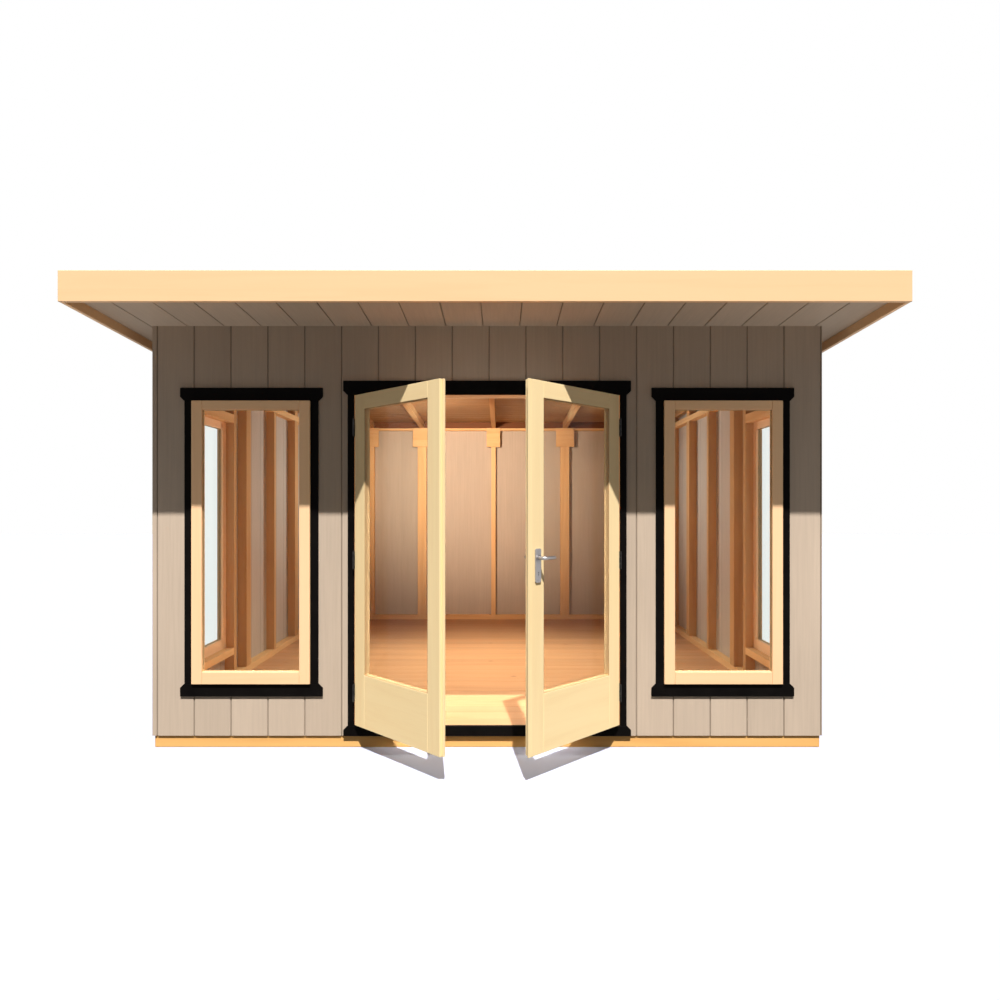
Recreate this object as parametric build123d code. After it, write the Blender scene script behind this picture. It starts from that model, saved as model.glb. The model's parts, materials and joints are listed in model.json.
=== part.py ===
from build123d import *
import os

# A timber garden office: a framed and boarded box under a shallow roof that falls to the
# rear, with glazed double doors standing part open and four tall fixed windows.
# Millimetres. X runs left to right, Y from the front to the back, Z up from the ground.
# Inside this file Y = 0 is the outer face of the front cladding; export() moves the
# finished solids so that the part's origin is the centre of its plan, at the ground.

# ---- driving dimensions -------------------------------------------------------------

# body
body_width = 3600.0
panel_width = 1200.0
panels_deep = 3
cladding_t = 9.0
stud_w = 45.0
stud_d = 63.0
plate_h = 45.0
lintel_h = 57.0
rear_plate_h = 20.0
side_plate_z = 2055.0
hairline = 0.4

# floor
joist_h = 100.0
joist_w = 45.0
joist_count = 8
floor_board_t = 20.0
cladding_lap = 55.0

# roof
soffit_z = 2267.0
roof_fall = 0.0414
front_overhang = 550.0
side_overhang = 170.0
rear_overhang = 95.0
soffit_t = 12.0
rafter_h = 63.0
rafter_w = 45.0
deck_t = 12.0
membrane_t = 2.0
fascia_t = 20.0
fascia_h = 145.0
fascia_drop = 48.5
bay_half = 750.0
rafter_outer_x = 1275.0
gusset_t = 18.0
gusset_h = 195.0
gusset_side = 48.0

# windows
window_w = 634.0
window_h = 1518.0
window_sill_z = 346.0
window_shift = 27.0
sash_t = 42.0
sash_proud = 23.0
sash_side = 57.0
sash_top = 48.0
sash_bottom = 67.0
pane_t = 6.0
casing_side = 42.0
casing_head_h = 70.0
casing_sill_h = 68.0
casing_horn = 23.5
casing_proud = 10.0
casing_chamfer = 22.0

# doorway
door_clear_half = 713.0
door_head_z = 1896.0
door_casing_side = 35.0
door_casing_head_h = 76.0
door_casing_horn = 24.0
door_stop_w = 12.0
door_stop_d = 20.0
door_stop_gap = 5.0
jamb_t = 35.0

# door leaves
leaf_t = 36.0
leaf_reveal = 18.0
leaf_proud = 23.0
leaf_gap = 5.0
leaf_bottom_gap = 10.0
leaf_open_deg = 45.0
stile_w = 88.0
top_rail_h = 80.0
bottom_panel_h = 280.0
meeting_offset = 7.0
tongue_w = 12.0
tongue_t = 10.0
lip_w = 17.0
lip_t = 9.0

# hinges
hinge_zs = (300.0, 1010.0, 1720.0)
hinge_out = 5.0
hinge_pin_r = 3.0
hinge_pin_gap = 0.3
knuckle_r = 5.5
knuckle_h = 30.0
knuckle_gap = 1.0
flap_w = 30.0
flap_t = 2.0

# handle
handle_z = 1055.0
plate_w = 40.0
plate_high = 160.0
plate_below = 116.0
plate_t = 6.0
spindle_gap = 0.5
neck_r = 9.0
lever_reach = 46.0
lever_len = 74.0
lever_r = 8.5
lever_bend_r = 14.0
collar_reach = 14.0

# ---- worked out from them -----------------------------------------------------------

half_w = body_width / 2
wall_t = cladding_t + stud_d
body_depth = panel_width * panels_deep + 2 * wall_t
floor_z = joist_h + floor_board_t
clad_z = floor_z - cladding_lap
sole_z = floor_z + plate_h
side_plate_top = side_plate_z + plate_h
roof_half = half_w + side_overhang
roof_front = -front_overhang
roof_rear = body_depth + rear_overhang
plan_centre_y = (roof_front + roof_rear) / 2
frame_half = half_w - cladding_t
frame_front = cladding_t
frame_rear = body_depth - cladding_t
inner_front = wall_t
inner_rear = body_depth - wall_t
inner_half = half_w - wall_t
doorway_half = door_clear_half + jamb_t
doorway_top_z = door_head_z + jamb_t
window_top_z = window_sill_z + window_h
window_x = (doorway_half + inner_half) / 2 + window_shift
side_window_y = wall_t + panel_width / 2


def roof_z(y, lift=0.0):
    """Height of the roof over y, lifted above the underside of the soffit."""
    return soffit_z - roof_fall * y + lift


# ---- shapes -------------------------------------------------------------------------


def block(x0, x1, y0, y1, z0, z1):
    """A box between two corners."""
    return Pos((x0 + x1) / 2, (y0 + y1) / 2, (z0 + z1) / 2) * Box(x1 - x0, y1 - y0, z1 - z0)


def prism_x(points, x0, x1):
    """A flat outline in the YZ plane, drawn out along X."""
    face = make_face(Polyline(*[(x0, y, z) for y, z in points], close=True))
    return extrude(face, amount=x1 - x0, dir=(1, 0, 0))


def prism_y(points, y0, y1):
    """A flat outline in the XZ plane, drawn out along Y."""
    face = make_face(Polyline(*[(x, y0, z) for x, z in points], close=True))
    return extrude(face, amount=y1 - y0, dir=(0, 1, 0))


def layer(x0, x1, y0, y1, lift, thick):
    """One sloping layer of the roof, with upright ends."""
    low = [(y0, roof_z(y0, lift)), (y1, roof_z(y1, lift))]
    high = [(y, z + thick) for y, z in reversed(low)]
    return prism_x(low + high, x0, x1)


def to_roof(x0, x1, y0, y1, z0):
    """An upright whose top is cut to the slope of the rafters."""
    top = [(y1, roof_z(y1, soffit_t)), (y0, roof_z(y0, soffit_t))]
    return prism_x([(y0, z0), (y1, z0)] + top, x0, x1)


def mirrored(solids):
    """The same solids on the other side of the building."""
    return [mirror(solid, about=Plane.YZ) for solid in solids]


def export(name, solids):
    """Write one node, moved so that the plan's centre is the origin."""
    moved = [Pos(0, -plan_centre_y, 0) * solid for solid in solids]
    whole = moved[0] if len(moved) == 1 else Compound(children=moved)
    export_step(whole, f"parts/{name}.step")


# ---- floor --------------------------------------------------------------------------


def floor_nodes():
    y0, y1 = frame_front + joist_w, frame_rear - joist_w
    front = block(-frame_half, frame_half, frame_front, y0, 0, joist_h)
    rear = block(-frame_half, frame_half, y1, frame_rear, 0, joist_h)
    joists = []
    pitch = (2 * frame_half - joist_w) / (joist_count + 1)
    for index in range(joist_count + 2):
        x = -frame_half + pitch * index
        joists.append(block(x, x + joist_w, y0 + hairline, y1 - hairline, 0, joist_h))
    export("floor_frame", [front, rear] + joists)
    deck = block(-frame_half, frame_half, frame_front, frame_rear, joist_h, floor_z)
    export("floor_deck", [deck])


# ---- walls --------------------------------------------------------------------------


def front_cladding():
    """Panels laid round each window, beside and over the doorway."""
    win0, win1 = -window_x - window_w / 2, -window_x + window_w / 2
    pieces = [
        to_roof(-half_w, win0 - hairline, 0, cladding_t, clad_z),
        to_roof(win1 + hairline, -doorway_half, 0, cladding_t, clad_z),
        block(win0, win1, 0, cladding_t, clad_z, window_sill_z),
        to_roof(win0, win1, 0, cladding_t, window_top_z),
    ]
    export("front_wall_left", pieces)
    export("front_wall_right", mirrored(pieces))
    edge = doorway_half - hairline
    export("front_wall_over_door", [to_roof(-edge, edge, 0, cladding_t, doorway_top_z)])


def side_cladding():
    """The side walls: panels round one window, and a plain run behind it."""
    x0, x1 = -half_w, -frame_half
    y0, y1 = frame_front + hairline, frame_rear - hairline
    win0, win1 = side_window_y - window_w / 2, side_window_y + window_w / 2
    pieces = [
        to_roof(x0, x1, y0, win0 - hairline, clad_z),
        to_roof(x0, x1, win1 + hairline, y1, clad_z),
        block(x0, x1, win0, win1, clad_z, window_sill_z),
        to_roof(x0, x1, win0, win1, window_top_z),
    ]
    export("left_wall_cladding", pieces)
    export("right_wall_cladding", mirrored(pieces))


def rear_cladding():
    export("rear_wall_cladding", [to_roof(-half_w, half_w, frame_rear, body_depth, clad_z)])


def front_frame():
    """Sole and top plates, a lintel over each opening and a sill rail under each window."""
    y0, y1 = frame_front, inner_front
    win0, win1 = -window_x - window_w / 2, -window_x + window_w / 2
    plate_z = roof_z(y1, soffit_t) - plate_h
    lintel_top = doorway_top_z + lintel_h
    plates = [
        block(-inner_half, -doorway_half, y0, y1, floor_z, sole_z),
        block(win0, win1, y0, y1, window_sill_z - plate_h, window_sill_z),
        block(win0, win1, y0, y1, window_top_z, window_top_z + lintel_h),
    ]
    plates += mirrored(plates)
    plates.append(to_roof(-inner_half, inner_half, y0, y1, plate_z))
    plates.append(block(-doorway_half, doorway_half, y0, y1, doorway_top_z, lintel_top))
    export("front_wall_plates", plates)

    starts = [-inner_half, win0 - stud_w, win1, -doorway_half - stud_w]
    studs = [block(x, x + stud_w, y0, y1, sole_z, plate_z) for x in starts]
    studs += mirrored(studs)
    studs.append(block(-stud_w / 2, stud_w / 2, y0, y1, lintel_top, plate_z))
    export("front_wall_studs", studs)


def side_frame():
    """Frames side by side, with a stud at each end and in the middle of those with no window,
    and short studs above the top plate that follow the roof."""
    x0, x1 = -frame_half, -inner_half
    win0, win1 = side_window_y - window_w / 2, side_window_y + window_w / 2
    plates = [
        block(x0, x1, frame_front, frame_rear, floor_z, sole_z),
        block(x0, x1, frame_front, frame_rear, side_plate_z, side_plate_top),
        block(x0, x1, win0, win1, window_sill_z - plate_h, window_sill_z),
        block(x0, x1, win0, win1, window_top_z, window_top_z + lintel_h),
    ]
    export("side_wall_plates", plates + mirrored(plates))

    starts = [frame_front, inner_front, win0 - stud_w, win1]
    for index in range(1, panels_deep):
        seam = wall_t + panel_width * index
        starts += [seam - stud_w - hairline, seam + hairline]
        starts.append(seam + (panel_width - stud_w) / 2)
    starts += [inner_rear - stud_w, frame_rear - stud_w]
    studs = [block(x0, x1, y, y + stud_w, sole_z, side_plate_z) for y in starts]
    studs += [to_roof(x0, x1, y, y + stud_w, side_plate_top) for y in starts]
    export("side_wall_studs", studs + mirrored(studs))


def rafter_seats():
    """Where each inner rafter lands on the rear wall, and how many studs stand under it."""
    left = [(-rafter_outer_x, 1), (-bay_half, 2)]
    return left + [(0.0, 1)] + [(-x, count) for x, count in left]


def rear_frame():
    y0, y1 = inner_rear, frame_rear
    top_z = roof_z(y1, soffit_t) - rear_plate_h
    sole = block(-inner_half, inner_half, y0, y1, floor_z, sole_z)
    export("rear_wall_plates", [sole, to_roof(-inner_half, inner_half, y0, y1, top_z)])

    starts = [-inner_half, inner_half - stud_w]
    gussets = []
    low_z = roof_z(y0, soffit_t) - gusset_h
    pitch = stud_w + 2 * hairline
    for x, count in rafter_seats():
        first = x - stud_w / 2 - pitch * (count - 1) / 2
        starts += [first + pitch * index for index in range(count)]
        reach = pitch * count / 2 + gusset_side
        gussets.append(to_roof(x - reach, x + reach, y0 - gusset_t, y0, low_z))
    export("rear_wall_studs", [block(x, x + stud_w, y0, y1, sole_z, top_z) for x in starts])
    export("rafter_gussets", gussets)


# ---- roof ---------------------------------------------------------------------------


def rafter_lines():
    """Centre lines of all the rafters: over the room, over the side walls and at the edges."""
    inner = [x for x, _ in rafter_seats()]
    over_wall = frame_half - rafter_w / 2
    edge = roof_half - fascia_t - rafter_w / 2
    return sorted(inner + [-over_wall, over_wall, -edge, edge])


def roof_nodes():
    y0, y1 = roof_front + fascia_t, roof_rear - fascia_t
    edge = roof_half - fascia_t
    lines = rafter_lines()
    half = rafter_w / 2
    rafters = [layer(x - half, x + half, y0, y1, soffit_t, rafter_h) for x in lines]
    export("rafters", rafters)

    noggins = []
    for left, right in zip(lines, lines[1:]):
        for y in (frame_front, inner_rear):
            noggins.append(layer(left + half, right - half, y, y + joist_w, soffit_t, rafter_h))
    export("roof_noggins", noggins)

    deck_lift = soffit_t + rafter_h
    export("roof_deck", [layer(-edge, edge, y0, y1, deck_lift, deck_t)])
    export("roof_membrane", [layer(-edge, edge, y0, y1, deck_lift + deck_t, membrane_t)])

    side = layer(-edge, -half_w, hairline, body_depth - hairline, 0, soffit_t)
    export("soffit_front", [layer(-edge, edge, y0, 0, 0, soffit_t)])
    export("soffit_sides", [side] + mirrored([side]))
    export("soffit_rear", [layer(-edge, edge, body_depth, y1, 0, soffit_t)])

    front_z = roof_z(y0) - fascia_drop
    rear_z = roof_z(y1) - fascia_drop
    front = block(-roof_half, roof_half, roof_front, y0, front_z, front_z + fascia_h)
    rear = block(-roof_half, roof_half, y1, roof_rear, rear_z, rear_z + fascia_h)
    barge = layer(-roof_half, -edge, y0, y1, -fascia_drop, fascia_h)
    export("fascia_front", [front])
    export("fascia_rear", [rear])
    export("barge_boards", [barge] + mirrored([barge]))


# ---- windows ------------------------------------------------------------------------


def head_casing(reach, low, high):
    """The black board over an opening, with the lower corners of its horns cut off."""
    cut = casing_chamfer
    left = [(-reach, high), (-reach, low + cut), (-reach + cut, low)]
    right = [(-x, z) for x, z in reversed(left)]
    return prism_y(left + right, -casing_proud, 0)


def sill_casing(reach, low, high):
    """The black board under an opening, with the upper corners of its horns cut off."""
    cut = casing_chamfer
    left = [(-reach + cut, high), (-reach, high - cut), (-reach, low)]
    right = [(-x, z) for x, z in reversed(left)]
    return prism_y(left + right, -casing_proud, 0)


def window_parts():
    """One window seen from outside, centred on X = 0 with its wall's face at Y = 0."""
    half = window_w / 2
    y0, y1 = -sash_proud, sash_t - sash_proud
    z0, z1 = window_sill_z, window_top_z
    pane_half = half - sash_side
    pane_z0, pane_z1 = z0 + sash_bottom, z1 - sash_top
    rail_half = pane_half - hairline
    side = block(-half, -pane_half, y0, y1, z0, z1)
    frame = [side] + mirrored([side])
    frame.append(block(-rail_half, rail_half, y0, y1, z0, pane_z0))
    frame.append(block(-rail_half, rail_half, y0, y1, pane_z1, z1))

    pane_y = (y0 + y1 - pane_t) / 2
    pane = block(-pane_half, pane_half, pane_y, pane_y + pane_t, pane_z0, pane_z1)

    side = block(-half - casing_side, -half, -casing_proud, 0, z0, z1)
    reach = half + casing_side + casing_horn
    trim = [side] + mirrored([side])
    trim.append(head_casing(reach, z1, z1 + casing_head_h))
    trim.append(sill_casing(reach, z0 - casing_sill_h, z0))
    return frame, pane, trim


def window_nodes():
    """Two fixed windows in the front wall and one in each side wall."""
    front = [Pos(-window_x, 0, 0), Pos(window_x, 0, 0)]
    side = [
        Pos(-half_w, side_window_y, 0) * Rot(0, 0, -90),
        Pos(half_w, side_window_y, 0) * Rot(0, 0, 90),
    ]
    frame, pane, trim = window_parts()
    for name, places in (("front", front), ("side", side)):
        for kind, pieces in (("frames", frame), ("trims", trim)):
            export(f"{name}_window_{kind}", [place * piece for place in places for piece in pieces])
    export("window_panes", [place * pane for place in front + side])


# ---- doorway ------------------------------------------------------------------------


def doorway_nodes():
    x0, x1 = door_clear_half, doorway_half - hairline
    jamb = block(-x1, -x0, 0, wall_t, floor_z, door_head_z)
    head = block(-x1, x1, 0, wall_t, door_head_z, doorway_top_z)
    export("door_frame", [jamb] + mirrored([jamb]) + [head])

    stop_y = leaf_t - leaf_proud + door_stop_gap
    edge = door_clear_half - door_stop_w
    stop = block(-x0, -edge, stop_y, stop_y + door_stop_d, floor_z, door_head_z)
    stop_top = block(-edge + hairline, edge - hairline, stop_y, stop_y + door_stop_d,
                     door_head_z - door_stop_w, door_head_z)
    export("door_stops", [stop] + mirrored([stop]) + [stop_top])

    side = block(-x0 - door_casing_side, -x0, -casing_proud, 0, floor_z, door_head_z)
    reach = x0 + door_casing_side + door_casing_horn
    head_board = head_casing(reach, door_head_z, door_head_z + door_casing_head_h)
    export("door_trim", [side] + mirrored([side]) + [head_board])

    tread = block(-x1, x1, 0, frame_front, clad_z, floor_z)
    export("door_sill", [sill_casing(reach, clad_z, floor_z) + tread])


# ---- door leaves --------------------------------------------------------------------

# A leaf is drawn closed, as the left one. X runs from the hinge axis to the meeting edge,
# and Y = 0 is the leaf's outer face, which the axis stands hinge_out in front of.

leaf_z0 = floor_z + leaf_bottom_gap
leaf_z1 = door_head_z - leaf_gap
left_edge = door_clear_half - meeting_offset - leaf_gap / 2
lip_edge = door_clear_half + meeting_offset - leaf_gap / 2
right_edge = lip_edge - lip_w


def leaf_parts(edge):
    """Stiles, rails and glass of a leaf whose meeting stile ends at the given edge."""
    x0, x1 = leaf_gap + stile_w, edge - stile_w
    stiles = [
        block(leaf_gap, x0, 0, leaf_t, leaf_z0, leaf_z1),
        block(x1, edge, 0, leaf_t, leaf_z0, leaf_z1),
    ]
    pane_z0, pane_z1 = leaf_z0 + bottom_panel_h, leaf_z1 - top_rail_h
    rails = [
        block(x0, x1, 0, leaf_t, leaf_z0, pane_z0),
        block(x0, x1, 0, leaf_t, pane_z1, leaf_z1),
    ]
    pane = block(x0, x1, leaf_reveal, leaf_reveal + pane_t, pane_z0, pane_z1)
    return stiles, rails, pane


def place_left(solids, open_deg=leaf_open_deg):
    """Hang what is drawn for a leaf on the left hinges, swung open."""
    axis = Pos(-door_clear_half, -leaf_proud - hinge_out, 0) * Rot(0, 0, -open_deg)
    return [axis * Pos(0, hinge_out, 0) * solid for solid in solids]


def place_right(solids, open_deg=leaf_open_deg):
    """The same on the right hinges, mirrored."""
    return mirrored(place_left(solids, open_deg))


def hinge_half(x0, z, knuckle_zs):
    """One half of a hinge: a flap in the side gap, and its knuckles round the axis."""
    x1 = x0 + flap_t
    tall = 3 * knuckle_h + 2 * knuckle_gap
    root_y = knuckle_r - hinge_out + knuckle_gap
    half = block(x0, x1, root_y, flap_w, z - tall / 2, z + tall / 2)
    for centre in knuckle_zs:
        web = block(x0, x1, -hinge_out, root_y, centre - knuckle_h / 2, centre + knuckle_h / 2)
        half = half + web + Pos(0, -hinge_out, centre) * Cylinder(knuckle_r, knuckle_h)
    return half


def hinge_parts():
    """Butt hinges: the leaf's middle knuckle turns on a pin held in the frame's two."""
    fixed = []
    moving = []
    step = knuckle_h + knuckle_gap
    for z in hinge_zs:
        axis = Pos(0, -hinge_out, z)
        pin = axis * Cylinder(hinge_pin_r, 2 * step + knuckle_h)
        fixed.append(hinge_half(0, z, (z - step, z + step)) + pin)
        bore = axis * Cylinder(hinge_pin_r + hinge_pin_gap, knuckle_h + 2 * knuckle_gap)
        moving.append(hinge_half(leaf_gap - flap_t, z, (z,)) - bore)
    return fixed, moving


def handle_parts(x):
    """Backplates on both faces of a stile centred on x, and the bar with a lever at each end
    that turns in them."""
    across = Pos(x, leaf_t / 2, handle_z) * Rot(90, 0, 0)
    hole = across * Cylinder(neck_r + spindle_gap, 3 * leaf_t)
    z0 = handle_z - plate_below
    x0, x1 = x - plate_w / 2, x + plate_w / 2
    plates = [
        block(x0, x1, -plate_t, 0, z0, z0 + plate_high),
        block(x0, x1, leaf_t, leaf_t + plate_t, z0, z0 + plate_high),
    ]
    front, back = -lever_reach, leaf_t + lever_reach
    tip_x = x - lever_len
    corners = [(tip_x, front), (x, front), (x, back), (tip_x, back)]
    path = Pos(0, 0, handle_z) * FilletPolyline(*corners, radius=lever_bend_r)
    bar = sweep(Plane(path @ 0, z_dir=path % 0) * Circle(lever_r), path=path)
    lever = bar + across * Cylinder(neck_r, leaf_t + 2 * collar_reach)
    return plates, lever, hole


def door_nodes():
    """The right leaf's lip laps over the tongue on the left leaf's meeting edge."""
    fixed, moving = hinge_parts()
    export("hinge_frame_halves", place_left(fixed, 0) + place_right(fixed, 0))

    stiles, rails, pane = leaf_parts(left_edge)
    tongue_y = lip_t + leaf_gap
    tongue = block(left_edge + hairline, left_edge + tongue_w, tongue_y, tongue_y + tongue_t,
                   leaf_z0, leaf_z1)
    export("door_left_stiles", place_left(stiles + [tongue]))
    export("door_left_rails", place_left(rails))
    export("door_left_glass", place_left([pane]))
    export("door_left_hinges", place_left(moving))

    stiles, rails, pane = leaf_parts(right_edge)
    lip = block(right_edge + hairline, lip_edge, 0, lip_t, leaf_z0, leaf_z1)
    plates, lever, hole = handle_parts(right_edge - stile_w / 2)
    export("door_right_stiles", place_right([stile - hole for stile in stiles] + [lip]))
    export("door_right_rails", place_right(rails))
    export("door_right_glass", place_right([pane]))
    export("door_right_hinges", place_right(moving))
    export("door_handle_plates", place_right([plate - hole for plate in plates]))
    export("door_lever", place_right([lever]))


os.makedirs("parts", exist_ok=True)
floor_nodes()
front_cladding()
side_cladding()
rear_cladding()
front_frame()
side_frame()
rear_frame()
roof_nodes()
window_nodes()
doorway_nodes()
door_nodes()
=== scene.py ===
# %% [markdown]
# # Dressing a timber garden office
# The solids of this garden office are already built to size: walls with real openings, a
# framed floor and roof, two glazed doors on hinges. Here they get what makes them look like
# timber: separate boards with joints, eased edges, grain, paint, glass and light. We load
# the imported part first. Its pieces stand where they belong, so every place below is read
# from them and nothing is placed by eye.

# %% Load the part
import json
import math
import bpy
from mathutils import Matrix, Vector


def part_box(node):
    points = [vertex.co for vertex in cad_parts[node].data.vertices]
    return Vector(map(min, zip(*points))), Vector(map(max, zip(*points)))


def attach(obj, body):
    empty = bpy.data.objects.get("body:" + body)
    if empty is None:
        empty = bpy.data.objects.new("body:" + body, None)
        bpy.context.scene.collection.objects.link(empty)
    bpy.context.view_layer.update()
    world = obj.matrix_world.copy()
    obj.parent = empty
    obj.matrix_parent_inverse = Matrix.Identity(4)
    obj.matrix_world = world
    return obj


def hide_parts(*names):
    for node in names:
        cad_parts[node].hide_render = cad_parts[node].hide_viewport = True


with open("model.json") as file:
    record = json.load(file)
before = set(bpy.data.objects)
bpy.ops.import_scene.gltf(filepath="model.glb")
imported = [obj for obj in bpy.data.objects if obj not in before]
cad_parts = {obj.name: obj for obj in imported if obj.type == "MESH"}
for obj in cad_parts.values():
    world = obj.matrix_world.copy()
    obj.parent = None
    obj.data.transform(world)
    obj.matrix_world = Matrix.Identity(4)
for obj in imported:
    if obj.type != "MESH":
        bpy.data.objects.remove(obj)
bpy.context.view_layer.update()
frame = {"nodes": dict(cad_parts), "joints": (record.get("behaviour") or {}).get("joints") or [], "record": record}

# %% [markdown]
# A node often holds several pieces that do not touch, such as the four bars of a window
# frame. To dress each bar we need its own box. The mesh of a node is loose triangles, so we
# gather the triangles that share a corner into one solid, and measure each solid. A door
# leaf stands open at 45 degrees: its points are turned shut first, because a box only fits
# a bar that lies square to the axes.

# %% Measure the separate solids of a node
def box_round(points):
    """The box round some points, as (low, high)."""
    return tuple(Vector([limit(point[axis] for point in points) for axis in range(3)])
                 for limit in (min, max))


def solids(node, turned=None):
    """Boxes of a node's solids, as (low, high), after an optional turn."""
    mesh = frame["nodes"][node].data
    turned = turned or Matrix.Identity(4)
    points = [turned @ vertex.co for vertex in mesh.vertices]
    owner = {}

    def root(key):
        while owner.setdefault(key, key) != key:
            owner[key] = owner[owner[key]]
            key = owner[key]
        return key

    keys = [tuple(round(value, 5) for value in point) for point in points]
    for face in mesh.polygons:
        first = root(keys[face.vertices[0]])
        for index in face.vertices:
            owner[root(keys[index])] = first
    groups = {}
    for key in keys:
        groups.setdefault(root(key), []).append(key)
    boxes = [box_round(members) for members in groups.values()]
    return sorted(boxes, key=lambda box: tuple(box[0]))


X, Y, Z = 0, 1, 2
front_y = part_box("front_wall_left")[0].y
fascia_low, fascia_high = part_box("fascia_front")
rear_fascia_low, rear_fascia_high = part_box("fascia_rear")
fall = (fascia_high.z - rear_fascia_high.z) / (rear_fascia_low.y - fascia_high.y)
print("a window frame has", len(solids("front_window_frames")) // 2, "bars")
print("the roof falls", round(1000 * fall, 1), "mm in each metre")

# %% [markdown]
# All the modelling below uses the tools a person uses in the viewport: add a cube, enter
# edit mode, pick some faces or edges, and bevel, inset, extrude or bisect them. In a script
# the picking is done by place: we say which edges we mean by where they lie. Everything is
# deselected before a new shape is added, because a tool acts on all that is selected.

# %% Small helpers for picking and shaping
def only(piece):
    """Make this piece the one that tools act on."""
    bpy.ops.object.select_all(action="DESELECT")
    piece.select_set(True)
    bpy.context.view_layer.objects.active = piece


def settle():
    """Put the object's place, turn and size into its mesh."""
    bpy.ops.object.transform_apply(location=True, rotation=True, scale=True)


def add_block(name, low, high):
    """A cube at its size and place: the start of every bar and board."""
    bpy.ops.object.select_all(action="DESELECT")
    middle = [(a + b) / 2 for a, b in zip(low, high)]
    size = [b - a for a, b in zip(low, high)]
    bpy.ops.mesh.primitive_cube_add(size=1, location=middle, scale=size)
    settle()
    bpy.context.object.name = name
    return bpy.context.object


def edit_all(piece):
    """Enter edit mode with everything picked."""
    only(piece)
    bpy.ops.object.mode_set(mode="EDIT")
    bpy.ops.mesh.select_all(action="SELECT")


def unpick(piece, kind):
    """Pick by edges or by faces, with nothing picked yet."""
    only(piece)
    bpy.ops.object.mode_set(mode="EDIT")
    bpy.ops.mesh.select_mode(type=kind)
    bpy.ops.mesh.select_all(action="DESELECT")
    bpy.ops.object.mode_set(mode="OBJECT")


def pick_edges(piece, wanted):
    """Enter edit mode with the edges picked for which wanted(a, b) is true."""
    unpick(piece, "EDGE")
    points = piece.data.vertices
    for edge in piece.data.edges:
        edge.select = wanted(points[edge.vertices[0]].co, points[edge.vertices[1]].co)
    bpy.ops.object.mode_set(mode="EDIT")


def pick_faces(piece, wanted):
    """Enter edit mode with the faces picked for which wanted(centre, normal) is true."""
    unpick(piece, "FACE")
    for face in piece.data.polygons:
        face.select = wanted(face.center, face.normal)
    bpy.ops.object.mode_set(mode="EDIT")


def face_outward():
    """Turn all the picked faces outward, and leave edit mode."""
    bpy.ops.mesh.normals_make_consistent(inside=False)
    bpy.ops.object.mode_set(mode="OBJECT")


def bevel(width, segments=1):
    """Bevel what is picked, and leave edit mode."""
    bpy.ops.mesh.bevel(offset=width, segments=segments)
    bpy.ops.object.mode_set(mode="OBJECT")


def ease(piece, width, segments=1):
    """Take the sharpness off all the edges, as a plane or sandpaper does."""
    edit_all(piece)
    bevel(width, segments)


def eased_bars(boxes, width, segments=1):
    """A block with eased edges for each box."""
    bars = []
    for low, high in boxes:
        bar = add_block("bar", low, high)
        ease(bar, width, segments)
        bars.append(bar)
    return bars


def along_axis(axis, length):
    """A step of this length along one axis."""
    step = Vector((0, 0, 0))
    step[axis] = length
    return step


def copy_of(piece, shift):
    """A copy with its own mesh, moved along."""
    only(piece)
    bpy.ops.object.duplicate(linked=False)
    bpy.ops.transform.translate(value=shift)
    settle()
    return bpy.context.object


def join(name, pieces):
    """One object from several that share a finish."""
    only(pieces[0])
    for piece in pieces:
        piece.select_set(True)
    if len(pieces) > 1:
        bpy.ops.object.join()
    bpy.context.object.name = name
    bpy.context.object.data.name = name
    return bpy.context.object


def trim(piece, point, normal):
    """Saw the piece along a plane, drop what lies on the normal's side, and close the cut."""
    edit_all(piece)
    bpy.ops.mesh.bisect(plane_co=point, plane_no=normal, use_fill=True, clear_outer=True)
    bpy.ops.mesh.select_all(action="SELECT")
    bpy.ops.mesh.fill_holes(sides=0)
    face_outward()


def carve(piece, cutter):
    """Take one shape out of another, and throw the cutter away."""
    only(piece)
    cut = piece.modifiers.new("cut", "BOOLEAN")
    cut.operation = "DIFFERENCE"
    cut.solver = "EXACT"
    cut.object = cutter
    bpy.ops.object.modifier_apply(modifier=cut.name)
    bpy.data.objects.remove(cutter)


sample = add_block("sample", (0, 0, 0), (0.1, 0.1, 0.1))
ease(sample, 0.01)
print("a cube with eased edges has", len(sample.data.polygons), "faces")
bpy.data.objects.remove(sample)

# %% [markdown]
# Every finish is a material made of nodes. A softwood board has broad darker and paler bands
# along its length, fine fibres, and now and then a knot. All three are noise, stretched along
# the grain. The pattern reads Object coordinates, which here are metres in the building's own
# frame, so the same material flows over all the pieces at true scale. One finish is made for
# each direction of the grain: uprights, bars along the front, and bars along the sides.

# %% A short way to write node trees
def node(tree, kind, links=None, **settings):
    """Add a shader node, set its options, and fill or link its inputs."""
    made = tree.nodes.new("ShaderNode" + kind)
    for key, value in settings.items():
        setattr(made, key, value)
    for key, value in (links or {}).items():
        if isinstance(value, bpy.types.NodeSocket):
            tree.links.new(value, made.inputs[key])
        else:
            made.inputs[key].default_value = value
    return made


def blank(name, roughness, specular, tint=(1, 1, 1)):
    """A new material with one Principled shader, as (material, tree, shader)."""
    material = bpy.data.materials.new(name)
    material.use_nodes = True
    shader = material.node_tree.nodes["Principled BSDF"]
    shader.inputs["Roughness"].default_value = roughness
    shader.inputs["Specular IOR Level"].default_value = specular
    shader.inputs["Specular Tint"].default_value = (*tint, 1)
    return material, material.node_tree, shader


def stretched(tree, place, grain, along, turn=0.0):
    """A place, squeezed along the grain so that noise becomes streaks."""
    if turn:
        turned = node(tree, "Mapping", {"Vector": place, "Rotation": (0, 0, turn)})
        place = turned.outputs["Vector"]
    scale = [1.0, 1.0, 1.0]
    scale[grain] = along
    return node(tree, "Mapping", {"Vector": place, "Scale": scale}).outputs["Vector"]


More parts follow.
